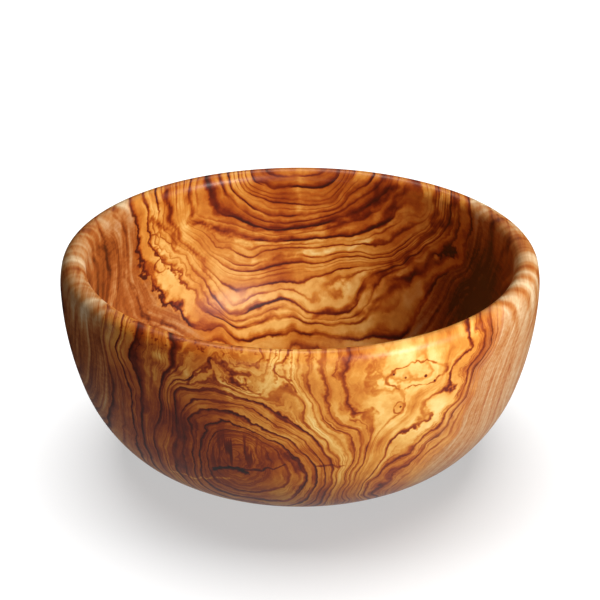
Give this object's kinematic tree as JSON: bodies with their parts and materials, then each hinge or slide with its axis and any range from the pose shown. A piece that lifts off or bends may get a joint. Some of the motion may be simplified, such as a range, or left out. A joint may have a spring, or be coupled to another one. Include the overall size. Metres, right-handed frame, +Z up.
{
  "type": "salad bowl",
  "caption": "Round salad bowl turned from a solid block of olive wood, with a thick wall, a rounded rim and a flat foot to stand on.",
  "frame": {"origin": "centre of the foot, on the surface that the bowl stands on", "axes": "+Z up along the axis that the bowl was turned on; -Y towards the side that the picture shows; +X to the right in the picture"},
  "size_m": [0.26, 0.26, 0.113],
  "materials": {
    "olive_wood": "oiled satin"
  },
  "bodies": {
    "root": {"bowl": "olive_wood"}
  },
  "joints": []
}
